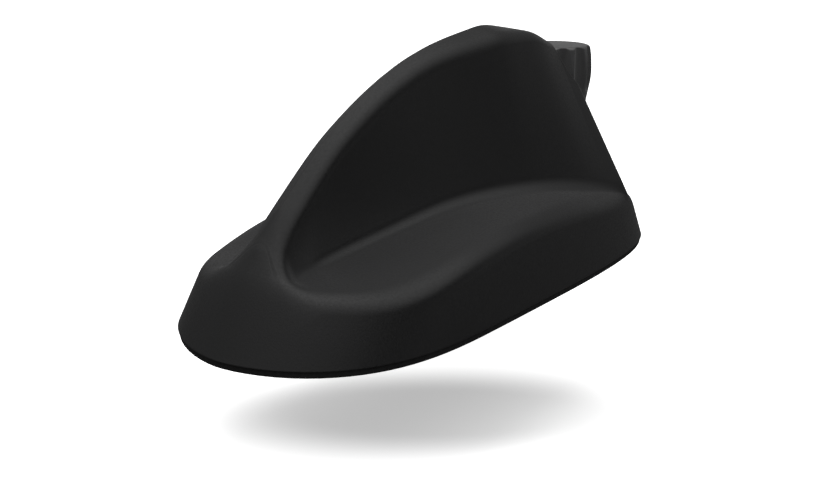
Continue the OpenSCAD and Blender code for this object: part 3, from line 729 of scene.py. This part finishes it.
def posts(name, many, segments=96):
    """Upright solids in one mesh. Each is (x, y, radius below, radius above, z below, z above)."""
    points, faces = [], []
    turns = [2 * pi * i / segments for i in range(segments)]
    for x, y, r0, r1, z0, z1 in many:
        k = len(points)
        for r, z in ((r0, z0), (r1, z1)):
            points += [((x + r * cos(t)) * MM, (y + r * sin(t)) * MM, z * MM) for t in turns]
        faces += [tuple(reversed(range(k, k + segments))), tuple(range(k + segments, k + 2 * segments))]
        for i in range(segments):
            after = (i + 1) % segments
            faces.append((k + i, k + after, k + segments + after, k + segments + i))
    return solid(name, points, faces)

def plain_mesh(obj):
    """The mesh that an object has after its modifiers."""
    return bpy.data.meshes.new_from_object(obj.evaluated_get(bpy.context.evaluated_depsgraph_get()))

def carve(obj, tool, how):
    """Applies a Boolean and removes the tool."""
    boolean = obj.modifiers.new("carve", "BOOLEAN")
    boolean.operation, boolean.object, boolean.solver = how, tool, "EXACT"
    result = plain_mesh(obj)
    obj.modifiers.clear()
    obj.data = result
    bpy.data.objects.remove(tool)

pocket = (WHIP_X, 0, POCKET_R, POCKET_R, COLUMN_H, OPEN_TOP)
carve(cover, posts("pocket", [pocket], FINE_RING), "DIFFERENCE")
hollow = skin("hollow", WALL, FOOT - 1, 3, HOLLOW_STEPS)
wide_pocket = (WHIP_X, 0, POCKET_R + WALL, POCKET_R + WALL, COLUMN_H - WALL, OPEN_TOP)
carve(hollow, posts("pocket_wall", [wide_pocket]), "DIFFERENCE")
carve(cover, hollow, "DIFFERENCE")
print("hollowed:", len(cover.data.polygons), "faces")

# %% [markdown]
# The column carries the whip mount, and its foot flares into the deck in four steps.
# Six bosses under the shelf take the screws. They are joined to the shell before
# anything is bored, as in a moulding, so that no bore is filled again: last come the
# rebate for the seal, the bores of the column and the pilot holes.

# %% Bosses and bores
PLATE_TOP = 5.1
SEAL_TOP = 6.7
RIM = 1.3
COLUMN_FOOT = 14
COLUMN_ROOF = 12
COLLAR_R = 7.05
COLLAR_TOP = 90
# The bosses: radius, extra radius at the shelf, angles and inset in the plan, bore
BOSS_R = 3.4
BOSS_DRAFT = 0.4
BOSS_AT = (34, 82, 151)
BOSS_INSET = 6.5
PILOT_R = 1.5
PILOT_TOP = 14
# The flare of the column's foot: extra radius and height, from just under the deck
FLARE = [(3.2, 0.0), (1.9, 0.55), (1.0, 1.3), (0.35, 2.3), (0.0, 3.4)]
FLARE_SUNK = 1.2

def prism(name, inward, z0, z1, n=88):
    """The plan outline, drawn in and raised from z0 to z1, with more points at the side."""
    angles = [180 * i / n + 9 * sin(radians(360 * i / n)) for i in range(n + 1)]
    half = [plan(a, inward) for a in angles]
    ring = half + [(x, -y) for x, y in half[-2:0:-1]]
    k = len(ring)
    points = [(x * MM, y * MM, z * MM) for z in (z0, z1) for x, y in ring]
    sides = [(i, (i + 1) % k, k + (i + 1) % k, k + i) for i in range(k)]
    return solid(name, points, [tuple(reversed(range(k))), tuple(range(k, 2 * k))] + sides)

def leaned(z, d):
    """How far the skirt has drawn in at z, at the nose, the side and the tail, with d added."""
    edge = (SHELF_EDGE[0][1], SHELF_EDGE[3][1], SHELF_EDGE[5][1])
    return [LEAN[i] * (z - FOOT) / (edge[i] - FOOT) + d for i in range(3)]

inset = [plan(a, [lean + BOSS_INSET for lean in LEAN]) for a in BOSS_AT]
screws = [(x, side * y) for side in (1, -1) for x, y in inset]
flare_z = curve(WHIP_X, SHELF_EDGE) - FLARE_SUNK
column = (WHIP_X, 0, COLUMN_R, COLUMN_R, COLUMN_FOOT, COLUMN_H)
carve(cover, posts("column", [column], FINE_RING), "UNION")
for (r0, z0), (r1, z1) in zip(FLARE, FLARE[1:]):
    ring = (WHIP_X, 0, COLUMN_R + r0, COLUMN_R + r1, flare_z + z0, flare_z + z1)
    carve(cover, posts("flare", [ring], FINE_RING), "UNION")
tops = [curve(x, SHELF_EDGE) - WALL / 2 for x, y in screws]
bosses = [(x, y, BOSS_R, BOSS_R + BOSS_DRAFT, PLATE_TOP, top) for (x, y), top in zip(screws, tops)]
carve(cover, posts("bosses", bosses, segments=32), "UNION")
carve(cover, prism("rebate", leaned(SEAL_TOP, RIM), FOOT - 1, SEAL_TOP), "DIFFERENCE")
column_bore = (WHIP_X, 0, COLUMN_R - WALL, COLUMN_R - WALL, FOOT, COLUMN_H - COLUMN_ROOF)
carve(cover, posts("column_bore", [column_bore]), "DIFFERENCE")
carve(cover, posts("collar_bore", [(WHIP_X, 0, COLLAR_R, COLLAR_R, FOOT, COLLAR_TOP)]), "DIFFERENCE")
pilots = [(x, y, PILOT_R, PILOT_R, 0, PILOT_TOP) for x, y in screws]
carve(cover, posts("pilots", pilots, segments=24), "DIFFERENCE")
print("cover:", len(cover.data.polygons), "faces")

# %% [markdown]
# The faces are shaded smooth, and only edges that turn by more than 32 degrees stay
# crisp. The piece stands for the CAD node from here on.

# %% Finish the cover
def settle(obj, slot, node, crisp=32):
    """Gives a finished piece its material, its shading and its place in the table."""
    mesh = obj.data
    mesh.materials.clear()
    mesh.materials.append(FINISH[slot])
    for face in mesh.polygons:
        face.use_smooth = True
        face.material_index = 0
    mesh.set_sharp_from_angle(angle=radians(crisp))
    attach(obj, "root")
    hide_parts(node)
    b = bmesh.new()
    b.from_mesh(mesh)
    loose = sum(1 for e in b.edges if len(e.link_faces) != 2)
    print(obj.name, "faces", len(b.faces), "open edges", loose, "volume mm3", round(b.calc_volume() * 1e9))
    b.free()

settle(cover, "moulded_cover", "radome")

# %% [markdown]
# The cap has a slightly barrel-shaped side with twelve finger flutes. Each flute is
# the hollow that a round-nosed cutter leaves, so its distance from the axis can be
# worked out for every point of a grid, and a soft minimum of the two distances
# rounds the lands between the flutes. Twelve Booleans would leave hard edges there.

# %% Shape of the cap
CAP_Z = 44.7
CAP_H = 25.0
CAP_R = 13.9
FLUTES = 12
FLUTE_R = 3.4
FLUTE_DEPTH = 1.8
FLUTE_LEN = 14.5
CAP_TURN = 15.0
SPOKES = 288
LAND_SOFT = 0.35
BARREL = ((0.96, 0.945), (0.9, 0.965), (0.84, 0.98), (0.72, 0.995), (0.61, 1.0), (0.49, 0.985),
          (0.37, 0.948), (0.19, 0.892), (0.0, 0.86))
CAP_LINE = [(h * CAP_H, r * CAP_R) for h, r in BARREL]

def flute_r(angle, z):
    """How far from the axis the nearest flute's floor lies in this direction."""
    step = 2 * pi / FLUTES
    off = angle - step * round(angle / step)
    centre = CAP_R + FLUTE_R - FLUTE_DEPTH
    below = max(CAP_H - FLUTE_LEN - z, 0.0)
    r2 = FLUTE_R ** 2 - below ** 2 - (centre * sin(off)) ** 2
    return centre * cos(off) - sqrt(r2) if r2 > 0 else None

def soft_min(a, b, k):
    """The smaller of two values, rounded where they are within k of each other."""
    h = max(k - abs(a - b), 0.0) / k
    return min(a, b) - h * h * k / 4

def cap_row(z, r):
    """A row of the cap: its height, and its radius at each spoke."""
    radii = []
    for i in range(SPOKES):
        floor = flute_r(2 * pi * i / SPOKES - radians(CAP_TURN), z)
        radii.append(r if floor is None else soft_min(r, floor, LAND_SOFT))
    return CAP_Z + z, radii

print("widest:", max(r for h, r in CAP_LINE))

# %% [markdown]
# The rows are stacked like the rings of a pot on a wheel: up the outside, over the
# rounded shoulder, across the slightly domed top, and down inside the bore.

# %% Cap
BORE = 9.9
BORE_TOP = 12.0
EDGE = 0.4
DOME = 0.5
TOP_R = 0.81 * CAP_R
SHOULDER_LOW = 0.945 * CAP_H
SHOULDER_R = 0.94 * CAP_R
SIDE_LOW = 0.9
SIDE_HIGH = 0.935 * CAP_H
SIDE_ROWS = 60
SHOULDER_POINTS = 12
PIN_R = 0.02

def lathe(name, axis_x, outer, inner, spokes):
    """Closed rings round an axis: outer rows going up, inner rows going down."""
    rows = outer + inner
    points = [(axis_x * MM + r * MM * cos(2 * pi * i / spokes), r * MM * sin(2 * pi * i / spokes), z * MM)
              for z, radii in rows for i, r in enumerate(radii)]
    n = len(rows)
    faces = []
    for row in range(n):
        this, above = row * spokes, (row + 1) % n * spokes
        for i in range(spokes):
            after = (i + 1) % spokes
            faces.append((this + i, this + after, above + after, above + i))
    return solid(name, points, faces)

outer = [cap_row(0.0, curve(0, CAP_LINE) - EDGE), cap_row(EDGE, curve(EDGE, CAP_LINE))]
heights = [SIDE_LOW + i * (SIDE_HIGH - SIDE_LOW) / SIDE_ROWS for i in range(SIDE_ROWS + 1)]
outer += [cap_row(z, curve(z, CAP_LINE)) for z in heights]
shoulder = Vector((curve(SHOULDER_LOW, CAP_LINE), SHOULDER_LOW, 0))
corner, rim = Vector((SHOULDER_R, CAP_H, 0)), Vector((TOP_R, CAP_H, 0))
for q in bend(shoulder, corner, rim, SHOULDER_POINTS):
    outer.append(cap_row(q.y, q.x))
for r in (10.5, 8.5, 6, 3, PIN_R):
    outer.append((CAP_Z + CAP_H + DOME * (1 - (r / TOP_R) ** 2), [r] * SPOKES))
inside = ((BORE_TOP, PIN_R), (BORE_TOP, BORE - EDGE), (BORE_TOP - EDGE, BORE), (0, BORE))
inner = [(CAP_Z + z, [r] * SPOKES) for z, r in inside]
cap = lathe("whip_cap_cover", WHIP_X, outer, inner, SPOKES)
settle(cap, "moulded_cap", "whip_cap", 50)

# %% [markdown]
# The hollow stud goes down through the roof. Its core is turned on the same kind of
# grid, from the foot up over the neck and the shoulder, and the hexagon of its head
# is simply a radius that changes round the ring.

# %% Stud
STUD_R = 8.0
STUD_LEN = 21.0
RIDGE = 0.42
CORE_R = STUD_R - RIDGE
NECK_R = 7.2
PLATE_FIT_R = 8.4
PASSAGE_R = 5.51
HEAD_AF = 22.0
HEAD_TOP = 7.7
CHAMFER_Z = 0.6
CHAMFER_R = 0.2
STUD_SPOKES = 96

def hexagon(i):
    """The radius of the head at a spoke."""
    return HEAD_AF / 2 / cos(radians((360 * i / STUD_SPOKES) % 60 - 30))

turned = [(-STUD_LEN, CORE_R - 1.0), (1 - STUD_LEN, CORE_R), (-1.6, CORE_R), (-1.2, NECK_R), (0.8, NECK_R),
          (0.8, PLATE_FIT_R - 0.3), (1.1, PLATE_FIT_R), (PLATE_TOP, PLATE_FIT_R)]
head = [hexagon(i) for i in range(STUD_SPOKES)]
outer = [(z, [r] * STUD_SPOKES) for z, r in turned]
chamfer = [min(r, HEAD_AF / 2) - CHAMFER_R for r in head]
outer += [(PLATE_TOP, head), (HEAD_TOP - CHAMFER_Z, head), (HEAD_TOP, chamfer)]
inner = [(z, [PASSAGE_R] * STUD_SPOKES) for z in (HEAD_TOP, -STUD_LEN)]
stud = lathe("stud_core", 0, outer, inner, STUD_SPOKES)
settle(stud, "plated_steel", "mounting_stud")

# %% [markdown]
# A thread repeats one ridge along a spiral, so it is a rule and not a drawing.
# Geometry Nodes sweep a small circle along the spiral, and the named inputs let
# another stud use the same tree. The tree ends in Realize Instances and Set Material,
# and its result is turned into a plain mesh, so that the piece can be exported.

# %% Tree of the thread
thread_tree = bpy.data.node_groups.new("stud_thread", "GeometryNodeTree")
for key, value in {"Turns": 12.0, "Radius": 0.0076, "Length": 0.018, "Ridge": 0.0005}.items():
    socket = thread_tree.interface.new_socket(name=key, in_out="INPUT", socket_type="NodeSocketFloat")
    socket.default_value = value
thread_tree.interface.new_socket(name="Finish", in_out="INPUT", socket_type="NodeSocketMaterial")
thread_tree.interface.new_socket(name="Geometry", in_out="OUTPUT", socket_type="NodeSocketGeometry")
given = thread_tree.nodes.new("NodeGroupInput").outputs
result = thread_tree.nodes.new("NodeGroupOutput").inputs
spiral = add(thread_tree, "GeometryNodeCurveSpiral", {
    "Resolution": 40,
    "Rotations": given["Turns"],
    "Start Radius": given["Radius"],
    "End Radius": given["Radius"],
    "Height": given["Length"]})
circle = {"Resolution": 8, "Radius": given["Ridge"]}
round_ridge = add(thread_tree, "GeometryNodeCurvePrimitiveCircle", circle)
path = {"Curve": spiral.outputs[0], "Profile Curve": round_ridge.outputs[0], "Fill Caps": True}
swept = add(thread_tree, "GeometryNodeCurveToMesh", path)
whole = add(thread_tree, "GeometryNodeRealizeInstances", {0: swept.outputs[0]})
coat = {"Geometry": whole.outputs[0], "Material": given["Finish"]}
painted = add(thread_tree, "GeometryNodeSetMaterial", coat)
thread_tree.links.new(painted.outputs[0], result[0])
print("nodes in the tree:", len(thread_tree.nodes))

# %% [markdown]
# The thread's ridge is sunk a little into the core, so that no gap shows between
# them. A modifier's inputs are set by the identifiers of the sockets, before the
# object is looked at for the first time.

# %% Thread
THREAD_LEN = 17.5
RIDGE_R = 0.46
SUNK = 0.05
THREAD_RISE = 1.7

def grow(name, tree, values):
    """The plain mesh that a Geometry Nodes tree makes, as an object."""
    host = new_object(name, bpy.data.meshes.new(name))
    nodes = host.modifiers.new("nodes", "NODES")
    nodes.node_group = tree
    names = {item.name: item.identifier for item in tree.interface.items_tree if item.in_out == "INPUT"}
    for key, value in values.items():
        nodes[names[key]] = value
    mesh = plain_mesh(host)
    host.modifiers.clear()
    host.data = mesh
    return host

thread = grow("stud_thread", thread_tree, {
    "Turns": 12.0,
    "Radius": (CORE_R - SUNK) * MM,
    "Length": THREAD_LEN * MM,
    "Ridge": RIDGE_R * MM,
    "Finish": FINISH["plated_steel"]})
for v in thread.data.vertices:
    v.co.z -= (STUD_LEN - THREAD_RISE) * MM
for face in thread.data.polygons:
    face.use_smooth = True
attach(thread, "root")
print("thread:", len(thread.data.polygons), "faces")
